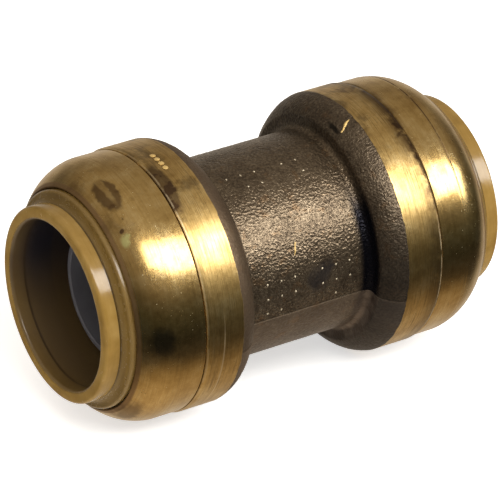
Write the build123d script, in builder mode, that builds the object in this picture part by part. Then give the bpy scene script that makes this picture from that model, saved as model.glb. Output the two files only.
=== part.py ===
from build123d import *
from math import radians, tan
import os

# A straight push fit coupling for pipe of 22.2 mm outside diameter, at real size in millimetres.
# It lies along X with its origin at its centre. Both ends are alike, so every piece of an end is
# drawn once, as an outline of (distance from the centre, radius), and turned about the X axis.

# ---- pipe
pipe_radius = 11.11
pipe_wall = 2.47  # of the thickest pipe that it takes, which is the one that needs the liner
pipe_clearance = 0.15  # between the pipe and the bores that guide it

# ---- cast body
neck_wall = 2.14
pipe_stop_half_width = 1.5
pipe_stop_height = 1.66  # how far the stop stands in from the socket bore
socket_length = 8.9  # from the stop to the O-ring's seat
seal_wall = 0.8  # between the flange's face and the O-ring's seat
flange_step = 2.0  # flat part of the flange's face above the neck
flange_round = 3.0  # length of the flange's rounded, as-cast shoulder
flange_bulge = 0.41
flange_edge_round = 1.2
neck_fillet = 0.9
band_wall = 1.45  # wall of the turned band around the cartridge
joint_chamfer = 0.2

# ---- O-ring
o_ring_section = 2.4
o_ring_squeeze = 0.25  # how far the ring stands in past the pipe's surface
o_ring_gap = 0.05

# ---- cartridge: the pieces clamped between the body and the end cap
cartridge_step = 2.94  # from the O-ring's seat out to the cartridge bore
cartridge_fit = 0.04
protector_bore_clearance = 0.34
protector_lip = 0.34
ring_thickness = 0.5
tooth_count = 16
tooth_slot = 1.2
tooth_bite = 0.16  # how far the tooth tips stand in past the pipe's surface
tooth_angle = 22.0
tooth_flex = 0.55  # how far the collar's nose bends the teeth
tooth_room = 0.05
tooth_root_step = 0.3  # from the cap's bore in to the teeth's roots

# ---- end cap
spigot_length = 2.0
spigot_wall = 0.88
cap_step = 0.2  # the cap is this much smaller in radius than the body's band
cap_rim_length = 3.7
dome_length = 4.7
dome_drop = 2.35
dome_bulge = 0.5
mouth_edge = 0.3
mouth_lip_thickness = 1.6
mouth_lip_height = 0.7  # how far the mouth stands in from the cap's bore

# ---- release collar
collar_travel = 2.2
collar_clearance = 0.15  # in the cap's mouth
flange_clearance = 0.2  # in the cap's bore
collar_flange = 1.2
collar_relief = 0.2  # the bore opens by this much behind its guiding land
land_length = 5.0
lip_wall = 1.79
lip_step = 0.25  # the groove behind the lip
shoulder_proud = 0.65  # the shoulder stands out of the cap's mouth
shoulder_round = 0.4
shoulder_hollow = 0.2  # the slope down to the lip is this much dished
shoulder_slope = 0.65
lip_length = 2.1
lip_round = 0.45
bore_flare = 0.5
sleeve_wall = 2.04
nose_wall = 0.74
nose_length = 2.2

# ---- tube liner
liner_fit = 0.04  # inside the pipe
liner_wall = 0.9
liner_length = 21.6
liner_flange_thickness = 0.9
liner_flange_clearance = 0.55  # the liner is loose in the socket and lies on its bottom
liner_rest_gap = 0.05
liner_edge = 0.3

# ---- radii that follow from the pipe
socket_radius = pipe_radius + pipe_clearance
stop_radius = socket_radius - pipe_stop_height
neck_radius = socket_radius + neck_wall
o_ring_inner_radius = pipe_radius - o_ring_squeeze
seal_radius = o_ring_inner_radius + o_ring_section
cartridge_radius = seal_radius + cartridge_step
cartridge_fit_radius = cartridge_radius - cartridge_fit
band_radius = cartridge_radius + band_wall
cap_radius = band_radius - cap_step
cap_bore_radius = cartridge_radius - spigot_wall
mouth_radius = cap_bore_radius - mouth_lip_height
tooth_root_radius = cap_bore_radius - tooth_root_step
tooth_tip_radius = pipe_radius - tooth_bite
protector_bore_radius = pipe_radius + protector_bore_clearance
collar_relief_radius = socket_radius + collar_relief
nose_radius = socket_radius + nose_wall
sleeve_radius = socket_radius + sleeve_wall
lip_radius = socket_radius + lip_wall
shoulder_radius = mouth_radius - collar_clearance
collar_flange_radius = cap_bore_radius - flange_clearance
liner_radius = pipe_radius - pipe_wall - liner_fit
liner_bore_radius = liner_radius - liner_wall
liner_flange_radius = socket_radius - liner_flange_clearance

# ---- distances from the centre, stacked outward
seal_floor = pipe_stop_half_width + socket_length
flange_start = seal_floor - seal_wall
band_start = flange_start + flange_round
seal_mouth = seal_floor + o_ring_section + 2 * o_ring_gap
tooth_slope = tan(radians(tooth_angle))
bent_slope = tooth_slope + (tooth_flex + tooth_room) / (tooth_root_radius - nose_radius)
protector_depth = (tooth_root_radius - protector_bore_radius) * bent_slope
ring_seat = seal_mouth + protector_lip + protector_depth
ring_face = ring_seat + ring_thickness
body_end = ring_face + spigot_length
dome_start = body_end + cap_rim_length
mouth_end = dome_start + dome_length + mouth_edge
mouth_back = mouth_end - mouth_lip_thickness
tooth_face_at_nose = ring_face - (tooth_root_radius - nose_radius) * tooth_slope
nose_end = tooth_face_at_nose - tooth_flex + collar_travel
flange_front = mouth_back - o_ring_gap
flange_back = flange_front - collar_flange
shoulder_front = mouth_end + shoulder_proud
lip_back = shoulder_front + shoulder_slope
collar_end = lip_back + lip_length


def end_plane(side):
    """The plane of an end's outlines: its x runs outward from the centre, to +X or to -X."""
    return Plane(origin=(0, 0, 0), x_dir=(side, 0, 0), z_dir=(0, 0, 1))


def save(piece, name):
    """Labels a finished piece and writes it."""
    piece.label = name
    export_step(piece, f"parts/{name}.step")


def make_cast_body():
    """The cast brass body: a waist between two flanges, bored in steps from both ends."""
    with BuildPart() as cast_body:
        with BuildSketch():
            with BuildLine():
                Polyline(
                    (0, stop_radius),
                    (pipe_stop_half_width, stop_radius),
                    (pipe_stop_half_width, socket_radius),
                    (seal_floor, socket_radius),
                    (seal_floor, seal_radius),
                    (seal_mouth, seal_radius),
                    (seal_mouth, cartridge_radius),
                    (body_end, cartridge_radius),
                    (body_end, band_radius - joint_chamfer),
                    (body_end - joint_chamfer, band_radius),
                    (band_start, band_radius),
                )
                shoulder_foot = (flange_start, neck_radius + flange_step)
                SagittaArc(shoulder_foot, (band_start, band_radius), flange_bulge)
                fillet_top = (flange_start, neck_radius + neck_fillet)
                Line(shoulder_foot, fillet_top)
                fillet_foot = (flange_start - neck_fillet, neck_radius)
                RadiusArc(fillet_top, fillet_foot, neck_fillet)
                Polyline(fillet_foot, (0, neck_radius), (0, stop_radius))
            make_face()
            face_corners = vertices().filter_by_position(Axis.X, flange_start, flange_start)
            fillet(face_corners.sort_by(Axis.Y)[-1], flange_edge_round)
            mirror(about=Plane.YZ)
        revolve(axis=Axis.X)
    return cast_body.part


def make_end_cap(side):
    """The brass cap: a spigot pressed into the body, a rim, and a dome that turns in to the mouth."""
    with BuildPart() as end_cap:
        with BuildSketch(end_plane(side)):
            with BuildLine():
                dome_foot = (dome_start, cap_radius)
                dome_end = (dome_start + dome_length, cap_radius - dome_drop)
                SagittaArc(dome_foot, dome_end, dome_bulge)
                Polyline(
                    dome_end,
                    (mouth_end, cap_radius - dome_drop - mouth_edge),
                    (mouth_end, mouth_radius),
                    (mouth_back, mouth_radius),
                    (mouth_back, cap_bore_radius),
                    (ring_face, cap_bore_radius),
                    (ring_face, cartridge_fit_radius),
                    (body_end, cartridge_fit_radius),
                    (body_end, cap_radius - joint_chamfer),
                    (body_end + joint_chamfer, cap_radius),
                    dome_foot,
                )
            make_face()
        revolve(axis=Axis.X)
    return end_cap.part


def make_release_collar(side):
    """The plastic collar that slides in the cap: a nose that bends the teeth, a flange that keeps
    it in the cap, a shoulder that fills the mouth, and a lip to press on."""
    with BuildPart() as release_collar:
        with BuildSketch(end_plane(side)):
            with BuildLine():
                shoulder_top = (shoulder_front - shoulder_round, shoulder_radius)
                shoulder_edge = (shoulder_front, shoulder_radius - shoulder_round)
                groove_foot = (lip_back, lip_radius - lip_step)
                lip_top = (collar_end - lip_round, lip_radius)
                lip_edge = (collar_end, lip_radius - lip_round)
                flare_edge = (collar_end, socket_radius + bore_flare)
                flare_foot = (collar_end - bore_flare, socket_radius)
                land_end = collar_end - bore_flare - land_length
                Polyline(
                    flare_foot,
                    (land_end, socket_radius),
                    (land_end - collar_relief, collar_relief_radius),
                    (nose_end, collar_relief_radius),
                    (nose_end, nose_radius),
                    (nose_end + nose_length, sleeve_radius),
                    (flange_back, sleeve_radius),
                    (flange_back, collar_flange_radius),
                    (flange_front, collar_flange_radius),
                    (flange_front, shoulder_radius),
                    shoulder_top,
                )
                RadiusArc(shoulder_top, shoulder_edge, shoulder_round)
                SagittaArc(shoulder_edge, groove_foot, -shoulder_hollow)
                Polyline(groove_foot, (lip_back, lip_radius), lip_top)
                RadiusArc(lip_top, lip_edge, lip_round)
                Line(lip_edge, flare_edge)
                RadiusArc(flare_edge, flare_foot, bore_flare)
            make_face()
        revolve(axis=Axis.X)
    return release_collar.part


def make_grab_ring(side):
    """The stainless ring: a flat rim with teeth that lean in towards the centre of the coupling."""
    tooth_lean = (tooth_root_radius - tooth_tip_radius) * tooth_slope
    with BuildPart() as grab_ring:
        with BuildSketch(end_plane(side)):
            with BuildLine():
                Polyline(
                    (ring_seat, cartridge_fit_radius),
                    (ring_face, cartridge_fit_radius),
                    (ring_face, tooth_root_radius),
                    (ring_face - tooth_lean, tooth_tip_radius),
                    (ring_seat - tooth_lean, tooth_tip_radius),
                    (ring_seat, tooth_root_radius),
                    close=True,
                )
            make_face()
        revolve(axis=Axis.X)
        slot_length = 2 * (tooth_root_radius - tooth_tip_radius)
        with BuildSketch(Plane.YZ):
            with PolarLocations(tooth_root_radius, tooth_count):
                SlotOverall(slot_length, tooth_slot, align=(Align.MAX, Align.CENTER))
        extrude(amount=side * ring_face * 2, mode=Mode.SUBTRACT)
    return grab_ring.part


def make_o_ring_protector(side):
    """The plastic ring between the O-ring and the teeth, dished so that the teeth can bend into it."""
    with BuildPart() as o_ring_protector:
        with BuildSketch(end_plane(side)):
            with BuildLine():
                Polyline(
                    (seal_mouth, protector_bore_radius),
                    (seal_mouth, cartridge_fit_radius),
                    (ring_seat, cartridge_fit_radius),
                    (ring_seat, tooth_root_radius),
                    (seal_mouth + protector_lip, protector_bore_radius),
                    close=True,
                )
            make_face()
        revolve(axis=Axis.X)
    return o_ring_protector.part


def make_o_ring(side):
    """The rubber seal, seated in the body against the protector."""
    ring_centre = (seal_floor + o_ring_gap + o_ring_section / 2, seal_radius - o_ring_section / 2)
    with BuildPart() as o_ring:
        with BuildSketch(end_plane(side)):
            with Locations(ring_centre):
                Circle(o_ring_section / 2)
        revolve(axis=Axis.X)
    return o_ring.part


def make_tube_liner(side):
    """The plastic liner that goes inside a soft pipe. Its flange lies against the stop, and the
    liner has dropped to the bottom of the socket."""
    drop = liner_flange_clearance - liner_rest_gap
    liner_plane = Plane(origin=(0, 0, -drop), x_dir=(side, 0, 0), z_dir=(0, 1, 0))
    flange_seat = pipe_stop_half_width + liner_rest_gap
    liner_end = flange_seat + liner_length
    with BuildPart() as tube_liner:
        with BuildSketch(liner_plane):
            with BuildLine():
                Polyline(
                    (flange_seat, liner_bore_radius),
                    (flange_seat, liner_flange_radius),
                    (flange_seat + liner_flange_thickness, liner_flange_radius),
                    (flange_seat + liner_flange_thickness, liner_radius),
                    (liner_end - liner_edge, liner_radius),
                    (liner_end, liner_radius - liner_edge),
                    (liner_end, liner_bore_radius),
                    close=True,
                )
            make_face()
        revolve(axis=Axis((0, 0, -drop), (1, 0, 0)))
    return tube_liner.part


os.makedirs("parts", exist_ok=True)
save(make_cast_body(), "cast_body")
for end, side in (("left", -1), ("right", 1)):
    save(make_end_cap(side), f"{end}_end_cap")
    save(make_release_collar(side), f"{end}_release_collar")
    save(make_grab_ring(side), f"{end}_grab_ring")
    save(make_o_ring_protector(side), f"{end}_o_ring_protector")
    save(make_o_ring(side), f"{end}_o_ring")
    save(make_tube_liner(side), f"{end}_tube_liner")
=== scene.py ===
from math import atan2, cos, degrees, hypot, pi, radians, sin

import bpy
import numpy as np
from mathutils import Matrix, Quaternion, Vector, noise


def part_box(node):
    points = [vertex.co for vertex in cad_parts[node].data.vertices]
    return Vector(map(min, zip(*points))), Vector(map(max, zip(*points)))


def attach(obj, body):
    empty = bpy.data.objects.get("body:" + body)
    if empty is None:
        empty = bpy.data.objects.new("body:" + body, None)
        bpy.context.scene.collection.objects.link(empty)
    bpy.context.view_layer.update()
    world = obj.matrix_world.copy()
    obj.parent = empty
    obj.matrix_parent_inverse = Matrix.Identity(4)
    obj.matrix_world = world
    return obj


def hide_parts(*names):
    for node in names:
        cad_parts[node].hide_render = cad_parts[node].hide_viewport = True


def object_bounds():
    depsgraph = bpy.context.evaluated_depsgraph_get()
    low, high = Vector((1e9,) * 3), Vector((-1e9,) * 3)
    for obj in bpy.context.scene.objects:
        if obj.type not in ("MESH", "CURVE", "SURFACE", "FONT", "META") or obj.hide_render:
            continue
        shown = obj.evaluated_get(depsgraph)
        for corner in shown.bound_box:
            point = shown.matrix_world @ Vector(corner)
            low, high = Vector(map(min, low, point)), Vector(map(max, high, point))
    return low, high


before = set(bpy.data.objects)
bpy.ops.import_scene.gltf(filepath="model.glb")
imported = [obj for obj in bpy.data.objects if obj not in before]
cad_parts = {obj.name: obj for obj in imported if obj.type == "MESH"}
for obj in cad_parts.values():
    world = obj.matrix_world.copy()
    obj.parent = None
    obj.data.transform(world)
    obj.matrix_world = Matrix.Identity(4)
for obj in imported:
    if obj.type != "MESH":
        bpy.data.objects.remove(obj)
cad_low, cad_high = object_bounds()

MM = 0.001
ENDS = (("left", -1), ("right", 1))

# ---- sizes of the coupling, in millimetres, as the CAD has them
body_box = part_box("cast_body")
cap_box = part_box("right_end_cap")
collar_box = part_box("right_release_collar")
liner_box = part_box("right_tube_liner")
body_end = body_box[1].x / MM
band_radius = body_box[1].z / MM
ring_face = cap_box[0].x / MM
mouth_end = cap_box[1].x / MM
cap_radius = cap_box[1].z / MM
nose_end = collar_box[0].x / MM
collar_end = collar_box[1].x / MM
flange_radius = collar_box[1].z / MM
liner_seat = liner_box[0].x / MM
liner_end = liner_box[1].x / MM
liner_drop = -(liner_box[0].z + liner_box[1].z) / 2 / MM
liner_flange_radius = (liner_box[1].z - liner_box[0].z) / 2 / MM
floor_height = cad_low.z

socket_radius = 11.26
stop_radius = 9.6
stop_half_width = 1.5
neck_radius = 13.4
neck_fillet = 0.9
seal_floor = 10.4
seal_mouth = 12.9
seal_radius = 13.26
cartridge_radius = 16.2
cartridge_fit_radius = 16.16
flange_start = 9.6
band_start = 12.6
shoulder_foot_radius = 15.4
shoulder_bulge = 0.41
joint_chamfer = 0.2
outside_step = 0.16
band_step = 0.3

cap_bore_radius = 15.32
mouth_radius = 14.62
mouth_lip = 1.6
mouth_edge = 0.3
dome_start = 21.6
dome_drop = 2.35
dome_bulge = 0.5
line_half_width = 0.09
nose_round = 0.08

land_end = 24.5
relief = 0.2
nose_radius = 12.0
nose_length = 2.2
sleeve_radius = 13.3
flange_back = 23.75
flange_front = 24.95
shoulder_radius = 14.47
shoulder_front = 27.24
shoulder_round = 0.4
slope_hollow = 0.2
lip_back = 27.9
lip_radius = 13.05
lip_groove_radius = 12.8
lip_round = 0.45
bore_flare = 0.5

liner_radius = 8.6
liner_bore_radius = 7.7
liner_flange = 0.9
liner_edge = 0.3


# ---- outlines: points of (distance along the axis, radius)

def straight(a, b, step):
    """Points from a up to, but not at, b, no further apart than step."""
    count = max(1, int(np.ceil(hypot(b[0] - a[0], b[1] - a[1]) / step)))
    return [(a[0] + (b[0] - a[0]) * i / count, a[1] + (b[1] - a[1]) * i / count) for i in range(count)]


def rounded(centre, radius, start, stop, count):
    """Points of a round about centre, from the start angle to the stop angle in degrees."""
    angles = np.radians(np.linspace(start, stop, count))
    return [(centre[0] + radius * cos(a), centre[1] + radius * sin(a)) for a in angles]


def bowed(a, b, bulge, count):
    """Points of an arc from a to b that stands out by bulge, to the left of the way from a to b."""
    a, b = np.array(a), np.array(b)
    chord = b - a
    half = np.linalg.norm(chord) / 2
    radius = (half * half + bulge * bulge) / (2 * bulge)
    left = np.array((-chord[1], chord[0])) / (2 * half)
    centre = (a + b) / 2 - left * (radius - bulge)
    start, stop = (degrees(atan2(*(p - centre)[::-1])) for p in (a, b))
    turn = (stop - start + 180) % 360 - 180
    return rounded(centre, radius, start, start + turn, count)


def body_outline():
    """Half of the body's outside, from its middle to its end, and the bores back to the middle."""
    fillet_centre = (flange_start - neck_fillet, neck_radius + neck_fillet)
    shoulder = bowed((flange_start, shoulder_foot_radius), (band_start, band_radius), shoulder_bulge, 26)
    outside = straight((0, neck_radius), (flange_start - neck_fillet, neck_radius), outside_step)
    outside += rounded(fillet_centre, neck_fillet, -90, 0, 9)
    outside += straight((flange_start, neck_radius + neck_fillet), shoulder[0], outside_step)[1:]
    outside += shoulder
    band = straight((band_start + 0.05, band_radius), (body_end - joint_chamfer, band_radius), band_step)
    bores = [
        (body_end, band_radius - joint_chamfer),
        (body_end, cartridge_radius),
        (seal_mouth, cartridge_radius),
        (seal_mouth, seal_radius),
        (seal_floor, seal_radius),
        (seal_floor, socket_radius),
        (stop_half_width, socket_radius),
        (stop_half_width, stop_radius),
    ]
    return outside + band + bores


def cap_outline(line_depth):
    """The end cap's outline, with a fine turned line that deep where the dome starts."""
    dome_end = (mouth_end - mouth_edge, cap_radius - dome_drop)
    dome = bowed((dome_start, cap_radius), dome_end, dome_bulge, 28)
    x, r = dome[2]
    fall = 0.004
    dome[2:3] = [(x - line_half_width, r + fall), (x, r - line_depth), (x + line_half_width, r - fall)]
    edge = [
        (mouth_end - nose_round, cap_radius - dome_drop - 0.2),
        (mouth_end, cap_radius - dome_drop - mouth_edge),
        (mouth_end, mouth_radius + nose_round),
        (mouth_end - nose_round, mouth_radius),
    ]
    inside = [
        (mouth_end - mouth_lip, mouth_radius),
        (mouth_end - mouth_lip, cap_bore_radius),
        (ring_face, cap_bore_radius),
        (ring_face, cartridge_fit_radius),
        (body_end, cartridge_fit_radius),
        (body_end, cap_radius - joint_chamfer),
        (body_end + joint_chamfer, cap_radius),
    ]
    return dome + edge + inside


def collar_outline():
    """The release collar's outline, from the nose along the sleeve, shoulder and lip into the bore."""
    shoulder_foot = (shoulder_front, shoulder_radius - shoulder_round)
    slope = bowed((lip_back, lip_groove_radius), shoulder_foot, slope_hollow, 9)[::-1]
    lip_centre = (collar_end - lip_round, lip_radius - lip_round)
    flare_centre = (collar_end - bore_flare, socket_radius + bore_flare)
    outline = [
        (nose_end, socket_radius + relief),
        (nose_end, nose_radius),
        (nose_end + nose_length, sleeve_radius),
        (flange_back, sleeve_radius),
        (flange_back, flange_radius),
        (flange_front, flange_radius),
        (flange_front, shoulder_radius),
    ]
    shoulder_centre = (shoulder_front - shoulder_round, shoulder_radius - shoulder_round)
    outline += rounded(shoulder_centre, shoulder_round, 90, 0, 9)
    outline += slope[1:]
    outline += [(lip_back + 0.02, lip_radius - 0.06), (lip_back + 0.08, lip_radius)]
    outline += rounded(lip_centre, lip_round, 90, 0, 9)
    outline += rounded(flare_centre, bore_flare, 0, -90, 9)
    outline += [(land_end, socket_radius), (land_end - 4 * relief, socket_radius + relief)]
    return outline


def liner_outline():
    """The tube liner's outline about its own axis."""
    return [
        (liner_seat, liner_bore_radius),
        (liner_seat, liner_flange_radius),
        (liner_seat + liner_flange, liner_flange_radius),
        (liner_seat + liner_flange, liner_radius),
        (liner_end - liner_edge, liner_radius),
        (liner_end - 0.1, liner_radius - 0.1),
        (liner_end, liner_radius - liner_edge),
        (liner_end, liner_bore_radius + 0.1),
        (liner_end - 0.1, liner_bore_radius),
    ]


# ---- mesh making

SHARP_EDGE = 32  # degrees between two faces, from which their edge stays sharp


def turned(name, outline, angles, body, stands_for, relief_of=None, drop=0.0):
    """A piece turned about the X axis from a closed outline, in millimetres, and hung on its body.
    relief_of gives how far each point stands out along the outline's normal."""
    points = np.array(outline, float)
    rings, spokes = len(points), len(angles)
    along = np.repeat(points[:, :1], spokes, 1)
    radius = np.repeat(points[:, 1:], spokes, 1)
    around = np.repeat(np.array(angles)[None, :], rings, 0)
    if relief_of:
        way = np.roll(points, -1, 0) - np.roll(points, 1, 0)
        way /= np.linalg.norm(way, axis=1)[:, None]
        lift = relief_of(along, radius, around)
        along = along - way[:, 1:] * lift
        radius = radius + way[:, :1] * lift
    corners = np.stack([along, radius * np.cos(around), radius * np.sin(around) - drop], -1)
    i, j = np.meshgrid(np.arange(rings), np.arange(spokes), indexing="ij")
    next_i, next_j = (i + 1) % rings, (j + 1) % spokes
    near, far = i * spokes, next_i * spokes
    quads = np.stack([near + j, near + next_j, far + next_j, far + j], -1)
    mesh = bpy.data.meshes.new(name)
    mesh.from_pydata((corners.reshape(-1, 3) * MM).tolist(), [], quads.reshape(-1, 4).tolist())
    return finished(name, mesh, body, stands_for)


def finished(name, mesh, body, stands_for=()):
    """An object made from a mesh, with its faces turned outward and its edges shaded, on its body."""
    mesh.update()
    obj = bpy.data.objects.new(name, mesh)
    bpy.context.scene.collection.objects.link(obj)
    volume = 0.0
    for polygon in mesh.polygons:
        a, b, c = (mesh.vertices[k].co for k in polygon.vertices[:3])
        volume += a.dot(b.cross(c))
    if volume < 0:
        mesh.flip_normals()
    mesh.shade_smooth()
    mesh.set_sharp_from_angle(angle=radians(SHARP_EDGE))
    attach(obj, body)
    if stands_for:
        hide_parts(*stands_for)
    return obj


def even_angles(count):
    """Angles for that many corners, evenly round the axis."""
    return np.linspace(-pi, pi, count, endpoint=False)


def mirrored(half):
    """The other half of an outline that starts at the middle, so that both together are closed."""
    return [(-x, r) for x, r in half if x > 0]


def off_angle(around, angle):
    """How far round from angle each of the angles is, from -pi to pi."""
    return (around - angle + pi) % (2 * pi) - pi


PARTING_ANGLE = radians(-166.8)
PARTING_RIDGE, RIDGE_WIDTH = 0.06, 0.13
PARTING_STEP, STEP_SPREAD = 0.03, 2.5
GRAIN_DEPTH, WAVE_DEPTH = 0.035, 0.04
STAMP_PLACE, STAMP_ANGLE, STAMP_DEPTH = -15.3, radians(96), 0.12
STAMP_LENGTH, STAMP_WIDTH = 1.0, 2.9


def cast_relief(along, radius, around):
    """The skin that the mould left: a coarse grain, slow waves, and the parting lines.
    On the left band there is also the shallow stamped field that the cavity dots stand in."""
    lift = np.zeros_like(along)
    skin = np.clip((band_start - 0.02 - np.abs(along)) / 0.25, 0, 1) * (radius > socket_radius + 2)
    for index in np.argwhere(skin > 0):
        at = tuple(index)
        x, r, a = along[at], radius[at], around[at]
        place = Vector((x, r * cos(a), r * sin(a)))
        grain = noise.noise(place * 2.6) * 0.6 + noise.noise(place * 4.7) * 0.4
        wave = noise.noise(place * 0.35)
        lift[at] = GRAIN_DEPTH * grain + WAVE_DEPTH * wave
    for line in (PARTING_ANGLE, PARTING_ANGLE + pi):
        off = off_angle(around, line) * radius
        lift += PARTING_RIDGE * np.exp(-(off / RIDGE_WIDTH) ** 2)
        step = 0.5 * np.tanh(off / 0.1)
        lift += PARTING_STEP * step * np.exp(-(off / STEP_SPREAD) ** 2)
    off = off_angle(around, STAMP_ANGLE) * radius
    field = np.exp(-((along - STAMP_PLACE) / STAMP_LENGTH) ** 4 - (off / STAMP_WIDTH) ** 4)
    band = (radius > band_radius - 0.02) * (skin == 0)
    return lift * skin - STAMP_DEPTH * field * band


def make_cast_body():
    """The body with its mould skin. Its corners stand closer together at the two parting lines."""
    half = body_outline()
    outline = half + mirrored(half)[::-1]
    fine = np.linspace(-1.2, 1.2, 25) / neck_radius
    around = np.concatenate([even_angles(560), PARTING_ANGLE + fine, PARTING_ANGLE + pi + fine])
    around = np.unique(np.round(off_angle(around, 0), 5))
    around = around[np.concatenate([[True], np.diff(around) > 0.004])]
    return turned("cast_body_skin", outline, around, "fitting", ["cast_body"], cast_relief)


def make_end_cap(end, side):
    """One end cap. The turned line is deeper on the right one."""
    line_depth = 0.022 if side > 0 else 0.008
    outline = [(side * x, r) for x, r in cap_outline(line_depth)]
    name, stands_for = f"{end}_cap_turned", [f"{end}_end_cap"]
    return turned(name, outline, even_angles(320), "fitting", stands_for)


def make_collar(end, side):
    """One release collar. It rides on its own body, which slides along the axis."""
    outline = [(side * x, r) for x, r in collar_outline()]
    name, body = f"{end}_collar_moulded", f"{end}_collar"
    return turned(name, outline, even_angles(320), body, [f"{end}_release_collar"])


def make_liner(end, side):
    """One tube liner. It is loose, so it lies a little below the axis."""
    outline = [(side * x, r) for x, r in liner_outline()]
    name, stands_for = f"{end}_liner_moulded", [f"{end}_tube_liner"]
    return turned(name, outline, even_angles(192), "fitting", stands_for, drop=liner_drop)


def tube_faces(rings, count):
    """The faces of a closed tube that has that many rings of count corners each, with both ends covered."""
    faces = []
    for ring in range(rings - 1):
        for k in range(count):
            low, near = ring * count + k, ring * count + (k + 1) % count
            faces.append((low, near, near + count, low + count))
    faces.append(tuple(range(count))[::-1])
    faces.append(tuple(range((rings - 1) * count, rings * count)))
    return faces


def bead(place, outward, width, height):
    """The corners and faces of a low round bead that stands on the skin and sinks a little into it."""
    outward = Vector(outward).normalized()
    side = outward.orthogonal().normalized()
    other = outward.cross(side)
    levels = [(-0.08, 1.0), (0.25 * height, 1.0), (0.75 * height, 0.72), (height, 0.3)]
    corners = []
    count = 10
    for rise, share in levels:
        for k in range(count):
            turn = 2 * pi * k / count
            reach = (side * cos(turn) + other * sin(turn)) * share * width / 2
            corners.append(place + outward * rise + reach)
    return corners, tube_faces(len(levels), count)


def make_beads(name, spots, radius, width, height):
    """One piece of small raised beads, each at (distance along the axis, angle round it)."""
    corners, faces = [], []
    for x, angle in spots:
        outward = Vector((0, cos(radians(angle)), sin(radians(angle))))
        more, covers = bead(Vector((x, 0, 0)) + outward * radius, outward, width, height)
        faces += [tuple(len(corners) + c for c in face) for face in covers]
        corners += more
    mesh = bpy.data.meshes.new(name)
    mesh.from_pydata([c * MM for c in corners], [], faces)
    return finished(name, mesh, "fitting")


def make_sliver(name, start, end, width, height):
    """A thin ridge of bared metal from start to end, each (distance along the axis, radius, angle)."""
    ends = [Vector((x, r * cos(radians(a)), r * sin(radians(a)))) for x, r, a in (start, end)]
    outward = ((ends[0] + ends[1]) / 2 * Vector((0, 1, 1))).normalized()
    along = ends[1] - ends[0]
    across = along.cross(outward).normalized()
    stations, count = 13, 9
    corners = []
    for i in range(stations):
        share = i / (stations - 1)
        swell = sin(pi * (0.04 + 0.92 * share)) ** 0.6 * (1 + 0.18 * sin(11 * share + 1))
        middle = ends[0] + along * share + across * 0.06 * sin(7 * share)
        for k in range(count):
            turn = 2 * pi * k / count
            corners.append(middle + (across * cos(turn) * width / 2 + outward * sin(turn) * height) * swell)
    mesh = bpy.data.meshes.new(name)
    mesh.from_pydata([c * MM for c in corners], [], tube_faces(stations, count))
    return finished(name, mesh, "fitting")


PIP_PITCH = 2.09
PIP_TURN = degrees(PIP_PITCH / neck_radius)
PIP_WIDTH, PIP_HEIGHT = 0.28, 0.07
LOW_BLOCK, HIGH_ROW, NEXT_ROW = 170.8, 104.8, 113.8


def pip_spots():
    """The two blocks of pips that the core box left on the neck, on one square lattice."""
    columns = [side * (PIP_PITCH * n - 0.02) for n in (1, 2, 3) for side in (-1, 1)]
    missing = {(2, 0), (2, 1), (2, 5)}  # row and column
    low = [
        (x, LOW_BLOCK + PIP_TURN * row)
        for row in range(3)
        for column, x in enumerate(columns)
        if (row, column) not in missing
    ]
    high = [(x, HIGH_ROW) for x in columns if x < 5]
    high += [(PIP_PITCH * n, NEXT_ROW) for n in (-2, -1, 2)]
    return low + high


cast_body = make_cast_body()
pips = make_beads("cast_pips", pip_spots(), neck_radius, PIP_WIDTH, PIP_HEIGHT)
dot_spots = [(STAMP_PLACE, 91 + 3.4 * n) for n in range(4)]
cavity_dots = make_beads("cavity_dots", dot_spots, band_radius - STAMP_DEPTH, 0.8, 0.1)
scar = make_sliver("neck_scar", (-1.15, neck_radius, 152), (-1.7, neck_radius, 159), 0.26, 0.05)
burr = make_sliver("flange_burr", (10.35, 16.49, 107), (11.9, 17.50, 104), 0.36, 0.13)
caps = [make_end_cap(end, side) for end, side in ENDS]
collars = [make_collar(end, side) for end, side in ENDS]
liners = [make_liner(end, side) for end, side in ENDS]


# ---- finishes

class Field:
    """A number, colour or vector that changes over a surface, with plain arithmetic for numbers."""

    def __init__(self, finish, socket):
        self.finish = finish
        self.socket = socket

    def math(self, operation, *others):
        """This number and the others put through a Math node."""
        inputs = {0: self}
        inputs.update({i + 1: other for i, other in enumerate(others)})
        return self.finish.node("Math", {"operation": operation}, inputs)

    def __add__(self, other):
        return self.math("ADD", other)

    def __sub__(self, other):
        return self.math("SUBTRACT", other)

    def __mul__(self, other):
        return self.math("MULTIPLY", other)

    def __rsub__(self, other):
        return (self * -1) + other

    def __abs__(self):
        return self.math("ABSOLUTE")

    __radd__ = __add__
    __rmul__ = __mul__

    def between(self, low, high):
        """0 at low, 1 at high, smooth in between, whichever of the two is larger."""
        inputs = {"Value": self, "From Min": low, "From Max": high}
        return self.finish.node("MapRange", {"interpolation_type": "SMOOTHSTEP"}, inputs)

    def clear(self):
        """Kept from 0 to 1."""
        return self.finish.node("Clamp", {}, {0: self})


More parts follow.
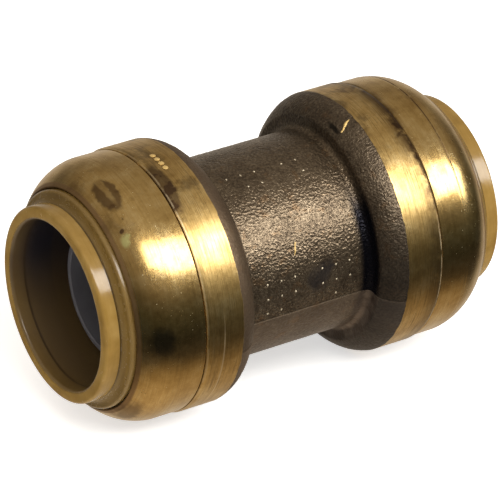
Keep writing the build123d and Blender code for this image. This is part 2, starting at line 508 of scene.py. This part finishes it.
class Finish:
    """A material: one Principled shader and the nodes that feed it. Places are in millimetres."""

    def __init__(self, name, **uniform):
        self.material = bpy.data.materials.new(name)
        self.material.use_nodes = True
        self.nodes = self.material.node_tree.nodes
        self.links = self.material.node_tree.links
        self.shader = self.nodes["Principled BSDF"]
        for socket, value in uniform.items():
            self.shader.inputs[socket.replace("_", " ")].default_value = value
        metres = self.node("TexCoord", {}, {}, "Object")
        self.place = self.node("VectorMath", {"operation": "SCALE"}, {0: metres, "Scale": 1 / MM})
        self.x, self.y, self.z = (self.node("SeparateXYZ", {}, {0: self.place}, axis) for axis in "XYZ")

    def node(self, kind, settings, inputs, output=0):
        """Adds a node, gives it its settings and then its sockets' values or links."""
        made = self.nodes.new("ShaderNode" + kind)
        for name, value in settings.items():
            if name == "stops":
                set_stops(made.color_ramp, value)
            else:
                setattr(made, name, value)
        for name, value in inputs.items():
            if isinstance(value, Field):
                self.links.new(value.socket, made.inputs[name])
            else:
                made.inputs[name].default_value = value
        return Field(self, made.outputs[output])

    def stretched(self, along, across):
        """The place with the axis direction scaled by along, and the two others by across."""
        return self.node("VectorMath", {"operation": "MULTIPLY"}, {0: self.place, 1: (along, across, across)})

    def moved(self, offset):
        """The place shifted by offset, so that a second pattern doesn't fall on the first."""
        return self.node("VectorMath", {"operation": "ADD"}, {0: self.place, 1: offset})

    def noise(self, scale, detail=2.0, rough=0.5, place=None):
        """An uneven pattern from about 0.3 to 0.7, with that many waves per millimetre."""
        inputs = {"Vector": place or self.place, "Scale": scale, "Detail": detail, "Roughness": rough}
        return self.node("TexNoise", {}, inputs, 0)

    def cells(self, scale):
        """How far it is to the nearest of many scattered points."""
        return self.node("TexVoronoi", {"feature": "F1"}, {"Vector": self.place, "Scale": scale}, "Distance")

    def turning(self, scale, drift):
        """Fine lines that run round the axis, as a lathe tool leaves them."""
        return self.noise(1.0, 3.0, 0.7, self.stretched(scale, drift))

    def patch(self, x, angle, radius, half_length, half_width, edge=0.3, ragged=0.0):
        """1 inside an oval on the surface, half_length along the axis and half_width round it."""
        across, up = cos(radians(angle)), sin(radians(angle))
        centre = (x, radius * across, radius * up)
        off = self.node("VectorMath", {"operation": "SUBTRACT"}, {0: self.place, 1: centre})
        if ragged:
            shake = self.node("TexNoise", {}, {"Vector": self.place, "Scale": 1.1, "Detail": 3.0}, "Color")
            shake = self.node("VectorMath", {"operation": "SUBTRACT"}, {0: shake, 1: (0.5, 0.5, 0.5)})
            shake = self.node("VectorMath", {"operation": "SCALE"}, {0: shake, "Scale": ragged})
            off = self.node("VectorMath", {"operation": "ADD"}, {0: off, 1: shake})
        depth = 1 / max(half_length, half_width)
        ways = [
            (1 / half_length, 0, 0),
            (0, -up / half_width, across / half_width),
            (0, across * depth, up * depth),
        ]
        dot = {"operation": "DOT_PRODUCT"}
        parts = [self.node("VectorMath", dot, {0: off, 1: way}, "Value") for way in ways]
        reach = (parts[0] * parts[0] + parts[1] * parts[1] + parts[2] * parts[2]).math("SQRT")
        return reach.between(1 + edge, 1 - edge)

    def mix(self, share, first, second):
        """The first colour where share is 0, and the second where it is 1."""
        first, second = (c if isinstance(c, Field) else (*c, 1.0) for c in (first, second))
        return self.node("Mix", {"data_type": "RGBA"}, {0: share, 6: first, 7: second}, 2)

    def shade(self, value, stops):
        """A colour from a ramp with those stops, each (place, colour)."""
        return self.node("ValToRGB", {"stops": stops}, {0: value})

    def wear(self, **fields):
        """Feeds what changes over the surface to the shader. height, in millimetres, goes through a Bump."""
        for name, value in fields.items():
            if name == "height":
                value = self.node("Bump", {}, {"Height": value, "Distance": MM, "Strength": 1.0}, "Normal")
                name = "Normal"
            self.links.new(value.socket, self.shader.inputs[name.replace("_", " ")])
        return self.material


def set_stops(ramp, stops):
    """Gives a colour ramp its stops, each (place, colour)."""
    while len(ramp.elements) > 1:
        ramp.elements.remove(ramp.elements[-1])
    ramp.elements[0].position = stops[0][0]
    ramp.elements[0].color = (*stops[0][1], 1.0)
    for place, colour in stops[1:]:
        ramp.elements.new(place).color = (*colour, 1.0)


# the metal's own colours, those of its stains and bared spots, and those of the painted shade, reflection and
# highlights laid on it, as (red, green, blue)
BRASS_TONES = [(0.34, (0.47, 0.300, 0.100)), (0.5, (0.66, 0.455, 0.175)), (0.64, (0.80, 0.60, 0.28))]
BRUSH_BROWN = (0.27, 0.17, 0.06)
PIT_BROWN = (0.10, 0.06, 0.025)
STAIN_AND_GROOVE_SHADE = (0.13, 0.075, 0.035)
OXIDE = (0.085, 0.050, 0.026)
SEAM_TAN = (0.42, 0.33, 0.24)
GREASE = (0.030, 0.030, 0.040)
RUST = (0.22, 0.12, 0.05)
FLANGE_FACE_SHADE = (0.034, 0.029, 0.026)
FILLET_SHADE = (0.006, 0.007, 0.013)
GOUGE_BLACK = (0.012, 0.010, 0.008)
BARED_BRASS_AND_SHEEN = (1.0, 0.84, 0.56)
JOINT_GROOVE_SHADE = (0.12, 0.075, 0.038)
PAINTED_DARK_REFLECTION = (0.055, 0.062, 0.060)
GREEN_GLINT = (1.0, 1.0, 0.45)
NICK_BRIGHT = (1.0, 0.88, 0.58)
MOUTH_EDGE_BROWN = (0.36, 0.225, 0.115)


def turned_brass_look(f, brushed):
    """What band and caps share: brass off the lathe, gone a little brown, brushed from 0 to 1.
    Gives colour, roughness and height."""
    lines = f.turning(2.6, 0.12)
    hair = f.turning(9, 0.22)
    cloud = f.noise(0.32, 4.0, 0.6)
    fog = f.noise(1.6, 4.0, 0.65)
    colour = f.shade(cloud * 0.55 + fog * 0.2 + lines * 0.25, BRASS_TONES)
    colour = f.mix(hair.between(0.50, 0.66) * (0.25 + 0.45 * brushed), colour, BRUSH_BROWN)
    specks = f.cells(1.7).between(0.16, 0.06) * f.noise(0.45).between(0.5, 0.62)
    colour = f.mix(specks * 0.75, colour, PIT_BROWN)
    streak = (hair - 0.5) * (0.16 + 0.14 * brushed)
    rough = 0.225 + 0.11 * brushed + (fog - 0.5) * 0.10 + streak + specks * 0.3
    brushing = (lines * 0.008 + hair * 0.005) * (1 + 2 * brushed)
    height = brushing + fog * 0.003 + f.noise(0.5, 2.0) * 0.010
    return colour, rough, height


def joint_run(f):
    """A slow pattern that band and cap share, so that a stain runs on across their joint."""
    return f.noise(0.5, 4.0, 0.6, f.moved((1.0, 6.0, 2.0)))


SKIN_TONES = [(0.34, (0.060, 0.043, 0.028)), (0.5, (0.140, 0.105, 0.069)), (0.64, (0.25, 0.195, 0.132))]
PARTING_SLOPE = 0.234  # the parting line's plane rises by this much towards the back


def cast_finish():
    """The body: the mould's grainy brown skin up to the band, and bright turned brass from there."""
    f = Finish("cast_and_turned_brass")
    brass, brass_rough, brass_height = turned_brass_look(f, 1.0)
    away = abs(f.x)
    ripple = f.noise(0.5, 3.0, 0.6) * 0.5 - 0.25
    band = (away + ripple).between(band_start - 0.03, band_start + 0.03)

    grain = f.noise(3.1, 1.6, 0.5)
    fine = f.noise(7.0, 2.0)
    cloud = f.noise(0.35, 4.0, 0.6)
    skin = f.shade(grain * 0.5 + cloud * 0.3 + fine * 0.2, SKIN_TONES)
    reach = (f.y * f.y + f.z * f.z).math("SQRT")
    past_parting = f.z - f.y * PARTING_SLOPE
    below = past_parting.between(0.02, -0.10)
    skin = f.mix(below * 0.6, skin, f.mix(cloud, (0.055, 0.038, 0.026), (0.15, 0.108, 0.075)))
    seam = abs(past_parting).between(0.13, 0.03)
    skin = f.mix(seam * 0.55, skin, SEAM_TAN)
    smear = f.patch(1.4, 176, neck_radius, 1.4, 1.5, 0.6, 2.2)
    grease = (smear + f.patch(3.0, 171, neck_radius, 1.0, 0.8, 0.6, 1.8)).clear()
    skin = f.mix(grease * 0.6, skin, GREASE)
    rust = f.noise(0.6, 4.0, 0.65, f.moved((7.0, 2.0, 5.0))).between(0.56, 0.7)
    skin = f.mix(rust * 0.35, skin, RUST)
    # painted shade: the cast shoulder of the right flange is darkened, most towards the bottom
    face = f.x.between(flange_start - 0.2, flange_start + 0.1)
    skin = f.mix(face * (0.22 + 0.50 * f.z.between(9, -3)), skin, FLANGE_FACE_SHADE)
    # painted shade: the right neck fillet is darkened to blue-black, most towards the front
    front = f.x * 0.25 - f.y - abs(f.z - 1.0)
    corner = f.x.between(flange_start - 2.0, flange_start - 0.9)
    corner = corner * reach.between(neck_radius + 2.4, neck_radius + 1.2)
    skin = f.mix(corner * front.between(0, 8) * 0.97, skin, FILLET_SHADE)
    # painted light: below the parting line the same fillet is lightened to brown
    fillet_underside_light = f.mix(cloud.between(0.4, 0.6), (0.11, 0.075, 0.050), (0.21, 0.155, 0.11))
    skin = f.mix(corner * below * 0.6, skin, fillet_underside_light)
    rubbed = f.x.between(-flange_start - 0.1, -flange_start - 0.8)
    skin = f.mix(rubbed * 0.7, skin, f.mix(fine, (0.10, 0.066, 0.040), (0.17, 0.115, 0.072)))
    gouge = f.patch(10.2, 102, 16.0, 0.22, 1.3, 0.4, 0.3)
    skin = f.mix(gouge * 0.9, skin, GOUGE_BLACK)

    stain = f.patch(-17.2, 111, band_radius, 1.15, 4.3, 0.25, 0.9).clear()
    brown = f.noise(0.28, 4.0, 0.6, f.moved((3.0, 9.0, 1.0))).between(0.5, 0.66) * f.z.between(8, 15)
    run = joint_run(f)
    soot = f.x.between(body_end - 1.9, body_end - 0.1) * (run + f.z * 0.02).between(0.60, 0.86)
    film = f.x.between(body_end - 3.0, body_end - 0.9) * run.between(0.26, 0.52)
    brass = f.mix((stain * 0.85 + brown * 0.55 + soot * 0.5 + film * 0.45).clear(), brass, OXIDE)

    right = f.x.between(-1, 1)
    # painted highlight: a pale sheen along the band's edge at the joint, weaker on the left and gone from the
    # top on the right; the scratch mixed in with it is bared metal
    lip = away.between(body_end - 0.30, body_end - 0.22) * away.between(body_end - 0.04, body_end - 0.12)
    lip = lip * (0.35 + 0.65 * right) * (1 - right * f.z.between(3, 8))
    scratch = f.x.between(-15.55, -15.45) * f.x.between(-15.25, -15.35) * f.z.between(4.0, -2.0)
    bared_and_sheen = (lip * f.noise(0.5, 3.0).between(0.36, 0.48) + scratch * 0.7).clear()
    brass = f.mix(bared_and_sheen * 0.8, brass, BARED_BRASS_AND_SHEEN)
    # painted shade: the band's chamfer in the joint groove is darkened, more on the right
    seat = away.between(body_end - 0.12, body_end - 0.02)
    brass = f.mix(seat * (0.25 + 0.4 * right), brass, JOINT_GROOVE_SHADE)
    colour = f.mix(band, skin, brass)
    skin_rough = 0.31 + (0.5 - grain) * 0.3 + below * 0.12 + grease * 0.06 + rubbed * 0.22 + face * 0.10
    brass_rough = brass_rough + stain * 0.2 + bared_and_sheen * 0.2 + seat * 0.35
    rough = skin_rough * (1 - band) + brass_rough * band
    quiet = (1 - grease * 0.85) * (1 - below * 0.45) * (1 - rubbed * 0.75)
    skin_height = (grain * 0.135 + fine * 0.016) * quiet
    height = skin_height * (1 - band) + brass_height * band
    metal = (0.86 - below * 0.16) * (1 - band) + band
    return f.wear(Base_Color=colour, Roughness=rough, Metallic=metal, height=height)


def cap_finish():
    """The end caps: satin turned brass with handling stains, a few pits and a dark line at the dome, with
    painted shade in the joint groove, a painted dark reflection low on the left cap and a painted glint.
    """
    f = Finish("turned_brass", Metallic=1.0)
    colour, rough, height = turned_brass_look(f, 0.0)
    away = abs(f.x)
    right = f.x.between(-1, 1)
    hollow = f.patch(-24.1, 98.5, 16.6, 0.36, 3.2, 0.35, 0.5)
    hoof = f.patch(-24.2, 104, 16.6, 1.3, 2.9, 0.15, 0.9) * (1 - 0.6 * hollow)
    drops = f.patch(-25.1, 124, 16, 0.35, 0.35, 0.3, 0.4)
    drops = drops + f.patch(-24.4, 119, 16.4, 0.18, 0.3, 0.3, 0.3)
    line = away.between(dome_start + 0.36, dome_start + 0.42)
    line = line * away.between(dome_start + 0.62, dome_start + 0.56)
    line = line * f.noise(0.9, 3.0, 0.7).between(0.36, 0.46) * right * f.z.between(5, 11)
    # painted shade: the cap's chamfer in the joint groove is darkened in patches, mixed in with the stains
    groove_shade = away.between(body_end + 0.12, body_end + 0.02) * f.noise(0.7, 3.0).between(0.35, 0.65)
    run = joint_run(f)
    soot = right * away.between(body_end + 1.1, body_end) * (run + f.z * 0.02).between(0.60, 0.86)
    scorch = f.patch(-25.4, 229, 16.0, 1.1, 3.4, 0.45, 1.4)
    edge = away.between(mouth_end - 0.55, mouth_end - 0.3)
    brown = f.noise(0.25, 4.0, 0.6, f.moved((5.0, 1.0, 4.0))).between(0.5, 0.68) * f.z.between(7, 15)
    # painted dark reflection: a blue-black spot low on the front of the left cap
    dark_reflection = f.patch(-23.9, 177, 16.8, 1.5, 1.9, 0.45, 1.4)
    colour = f.mix(dark_reflection * 0.7, colour, PAINTED_DARK_REFLECTION)
    glint = f.patch(-25.2, 129, 16.1, 0.42, 0.75, 0.6, 0.8)
    glint = (glint + f.patch(-24.7, 127, 16.3, 0.3, 0.3, 0.6, 0.6)).clear()
    colour = f.mix(glint * 0.85, colour, GREEN_GLINT)
    stain = hoof * 0.8 + drops * 0.7 + line * 0.9 + groove_shade * 0.7 + brown * 0.4 + soot * 0.5 + scorch * 0.6
    stain = stain.clear()
    colour = f.mix(edge * 0.8, colour, MOUTH_EDGE_BROWN)
    colour = f.mix(stain, colour, STAIN_AND_GROOVE_SHADE)
    handled = f.noise(0.55, 2.0, 0.5, f.moved((2.0, 4.0, 8.0))).between(0.56, 0.64)
    nicks = f.cells(2.2).between(0.15, 0.08) * handled
    colour = f.mix(nicks * 0.85, colour, NICK_BRIGHT)
    rough = rough + stain * 0.22 + edge * 0.25 + nicks * 0.3
    return f.wear(Base_Color=colour, Roughness=rough, height=height - stain * 0.01)


def bead_finish(name, light, dark):
    """The small raised marks: partly worn metal, mottled from dark to light. On the pips the pale cream is
    partly painted highlight, in place of their glints.
    """
    f = Finish(name, Metallic=0.55)
    colour = f.mix(f.noise(3.0, 2.0), dark, light)
    return f.wear(Base_Color=colour, Roughness=0.3 + f.noise(6.0) * 0.3, height=f.noise(9.0) * 0.02)


COLLAR_TONES = [(0.35, (0.185, 0.106, 0.022)), (0.5, (0.235, 0.140, 0.032)), (0.68, (0.29, 0.185, 0.054))]
SHOULDER_SHADE = (0.095, 0.060, 0.020)
CREASE_SHADE = (0.030, 0.016, 0.006)
BORE_SHADE_WARM, BORE_SHADE_COOL = (0.080, 0.050, 0.020), (0.012, 0.011, 0.017)


def collar_finish():
    """The release collars: glossy golden-brown plastic with flow marks and fine scuffs, and painted shade
    behind the lip, in its crease and down the bore.
    """
    f = Finish("golden_brown_plastic", IOR=1.6)
    cloud = f.noise(0.22, 3.0, 0.6)
    flow = f.turning(2.5, 0.12)
    scuff = f.noise(1.0, 3.0, 0.7, f.stretched(9, 0.9))
    colour = f.shade(cloud * 0.7 + flow * 0.3, COLLAR_TONES)
    away = abs(f.x)
    # painted shade: everything behind the lip, the shoulder's slope first, is darkened
    foot = away.between(lip_back + 0.12, lip_back - 0.05)
    colour = f.mix(foot * 0.6, colour, SHOULDER_SHADE)
    # painted shade inside the bore: darker deeper in, bluish-black towards the top and brown towards the
    # bottom
    reach = (f.y * f.y + f.z * f.z).math("SQRT")
    inside = reach.between(socket_radius + 0.45, socket_radius + 0.15)
    deep = away.between(collar_end, collar_end - 4.0)
    bore_shade = f.mix(f.z.between(-8, 3), BORE_SHADE_WARM, BORE_SHADE_COOL)
    colour = f.mix(inside * (0.68 + 0.3 * deep), colour, bore_shade)
    # painted shade: a dark line in the crease behind the lip
    crease = away.between(lip_back - 0.30, lip_back) * away.between(lip_back + 0.22, lip_back + 0.05)
    colour = f.mix(crease * 0.85, colour, CREASE_SHADE)
    rough = 0.15 + scuff.between(0.45, 0.75) * 0.14 + foot * 0.05 + inside * 0.15
    return f.wear(Base_Color=colour, Roughness=rough, height=scuff * 0.004 + f.noise(0.8) * 0.02)


def liner_finish():
    """The tube liners: dull grey plastic with scuffs along the way in."""
    f = Finish("grey_plastic")
    colour = f.mix(f.noise(0.5, 4.0), (0.075, 0.073, 0.085), (0.12, 0.117, 0.13))
    scuff = f.noise(1.0, 3.0, 0.6, f.stretched(1.0, 6))
    return f.wear(Base_Color=colour, Roughness=0.34 + scuff * 0.2, height=scuff * 0.006)


def steel_finish():
    """The grab rings: rolled spring steel."""
    f = Finish("spring_steel", Metallic=1.0)
    drawn = f.noise(1.0, 3.0, 0.7, f.stretched(2, 9))
    colour = f.mix(drawn, (0.36, 0.35, 0.34), (0.60, 0.59, 0.57))
    return f.wear(Base_Color=colour, Roughness=0.22 + drawn * 0.2, height=drawn * 0.006)


def protector_finish():
    """The O-ring protectors: pale matt plastic."""
    f = Finish("pale_plastic")
    cloud = f.noise(0.6, 3.0)
    colour = f.mix(cloud, (0.42, 0.41, 0.38), (0.56, 0.55, 0.51))
    return f.wear(Base_Color=colour, Roughness=0.4 + cloud * 0.15, height=f.noise(5.0) * 0.006)


def rubber_finish():
    """The O-rings: black rubber with a faint bloom."""
    f = Finish("seal_rubber")
    bloom = f.noise(1.2, 4.0, 0.6)
    colour = f.mix(bloom, (0.010, 0.010, 0.011), (0.034, 0.034, 0.036))
    return f.wear(Base_Color=colour, Roughness=0.5 + bloom * 0.25, height=f.noise(7.0) * 0.01)


def dress(objects, material):
    """Gives each object that material and no other."""
    for obj in objects:
        obj.data.materials.clear()
        obj.data.materials.append(material)


dress([cast_body], cast_finish())
dress(caps, cap_finish())
# the pips' pale cream is partly painted highlight
dress([pips], bead_finish("cast_pip_cream", (0.62, 0.55, 0.42), (0.40, 0.33, 0.22)))
dress([cavity_dots, scar, burr], bead_finish("bared_brass", (0.85, 0.62, 0.25), (0.60, 0.40, 0.14)))
dress(collars, collar_finish())
dress(liners, liner_finish())
inner_finishes = {
    "grab_ring": steel_finish(),
    "o_ring_protector": protector_finish(),
    "o_ring": rubber_finish(),
}
for part, finish in inner_finishes.items():
    dress([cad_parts[f"{end}_{part}"] for end, side in ENDS], finish)


# ---- camera, light and floor

CAMERA_AZIMUTH, CAMERA_ELEVATION = -32.43, 28.43
CAMERA_DISTANCE = 0.5426
LENS_LENGTH = 299.6
AIM_RIGHT, AIM_UP = -0.00042, -0.00056
WARM_WHITE, CREAM_WHITE = (1.0, 0.98, 0.94), (1.0, 0.97, 0.92)
FLOOR_REACH = 6.0


def heading(azimuth, elevation):
    """The unit vector towards a place at that azimuth from the front and that height, in degrees."""
    a, e = radians(azimuth), radians(elevation)
    return Vector((sin(a) * cos(e), -cos(a) * cos(e), sin(e)))


def put(name, data):
    """An object of that name in the scene, made from its data."""
    obj = bpy.data.objects.new(name, data)
    bpy.context.scene.collection.objects.link(obj)
    return obj


def make_camera():
    """A long lens that looks down at the left mouth and along the front."""
    lens = bpy.data.cameras.new("camera")
    lens.lens = LENS_LENGTH
    lens.sensor_width = 36
    lens.clip_start = 0.02
    camera = put("camera", lens)
    back = heading(CAMERA_AZIMUTH, CAMERA_ELEVATION)
    right = Vector((0, 0, 1)).cross(back).normalized()
    up = back.cross(right)
    aim = right * AIM_RIGHT + up * AIM_UP
    turn = Matrix((right, up, back)).transposed().to_4x4()
    camera.matrix_world = Matrix.Translation(aim + back * CAMERA_DISTANCE) @ turn
    bpy.context.scene.camera = camera


def make_softbox(name, azimuth, elevation, roll, distance, size, brightness, colour, in_gloss=True):
    """A flat lamp that looks at the object, turned by roll degrees about its own axis."""
    data = bpy.data.lights.new(name, "AREA")
    data.shape = "RECTANGLE"
    data.size, data.size_y = size
    data.energy = brightness * pi * size[0] * size[1]
    data.color = colour
    box = put(name, data)
    box.visible_glossy = in_gloss
    away = heading(azimuth, elevation)
    box.location = away * distance
    box.rotation_mode = "QUATERNION"
    facing = (-away).to_track_quat("-Z", "Y")
    box.rotation_quaternion = facing @ Quaternion((0, 0, 1), radians(roll))


def make_room():
    """A dim room round the object: dark below the horizon, warm at the very bottom, tan above.
    A pale backdrop glows behind the object."""
    world = bpy.data.worlds.new("studio_room")
    bpy.context.scene.world = world
    world.use_nodes = True
    nodes, links = world.node_tree.nodes, world.node_tree.links
    nodes.clear()
    place = nodes.new("ShaderNodeTexCoord")
    axes = nodes.new("ShaderNodeSeparateXYZ")
    height = nodes.new("ShaderNodeMapRange")
    height.inputs["From Min"].default_value = -1
    ramp = nodes.new("ShaderNodeValToRGB")
    set_stops(ramp.color_ramp, [
        (0.00, (0.78, 0.63, 0.46)),
        (0.09, (0.46, 0.35, 0.23)),
        (0.17, (0.07, 0.06, 0.055)),
        (0.30, (0.028, 0.030, 0.030)),
        (0.47, (0.066, 0.066, 0.050)),
        (0.56, (0.12, 0.11, 0.095)),
        (0.72, (0.34, 0.29, 0.235)),
        (0.90, (0.42, 0.36, 0.29)),
        (1.00, (0.55, 0.48, 0.39)),
    ])
    behind = nodes.new("ShaderNodeVectorMath")
    behind.operation = "DOT_PRODUCT"
    behind.inputs[1].default_value = -heading(CAMERA_AZIMUTH, CAMERA_ELEVATION)
    links.new(place.outputs["Generated"], behind.inputs[0])
    glow = nodes.new("ShaderNodeMapRange")
    glow.interpolation_type = "SMOOTHSTEP"
    glow.inputs["From Min"].default_value = 0.55
    glow.inputs["From Max"].default_value = 0.98
    links.new(behind.outputs["Value"], glow.inputs["Value"])
    backdrop = nodes.new("ShaderNodeMix")
    backdrop.data_type = "RGBA"
    backdrop.inputs[7].default_value = (0.76, 0.67, 0.56, 1.0)
    links.new(glow.outputs[0], backdrop.inputs[0])
    links.new(ramp.outputs[0], backdrop.inputs[6])
    light = nodes.new("ShaderNodeBackground")
    light.inputs["Strength"].default_value = 0.8
    out = nodes.new("ShaderNodeOutputWorld")
    links.new(place.outputs["Generated"], axes.inputs[0])
    links.new(axes.outputs["Z"], height.inputs["Value"])
    links.new(height.outputs[0], ramp.inputs[0])
    links.new(backdrop.outputs[2], light.inputs["Color"])
    links.new(light.outputs[0], out.inputs[0])


def make_floor():
    """A plain pale floor under the object, which isn't part of it."""
    mesh = bpy.data.meshes.new("floor")
    reach = FLOOR_REACH
    corners = [(-reach, -reach), (reach, -reach), (reach, reach), (-reach, reach)]
    mesh.from_pydata([(x, y, floor_height) for x, y in corners], [], [(0, 1, 2, 3)])
    floor = put("floor", mesh)
    floor.visible_glossy = False
    f = Finish("pale_floor", Roughness=1.0, Specular_IOR_Level=0.0, Emission_Strength=0.6)
    f.shader.inputs["Emission Color"].default_value = (1, 1, 1, 1)
    colour = f.mix(f.noise(0.004), (0.86, 0.86, 0.86), (0.90, 0.90, 0.90))
    dress([floor], f.wear(Base_Color=colour))


make_camera()
make_room()
make_floor()
make_softbox("softbox", 24.5, 41.4, -26, 0.45, (0.84, 0.175), 6.9, WARM_WHITE)
make_softbox("fill", -70, 50.0, 0, 0.8, (0.9, 0.9), 1.1, CREAM_WHITE, in_gloss=False)
bpy.context.scene.view_settings.view_transform = "Standard"
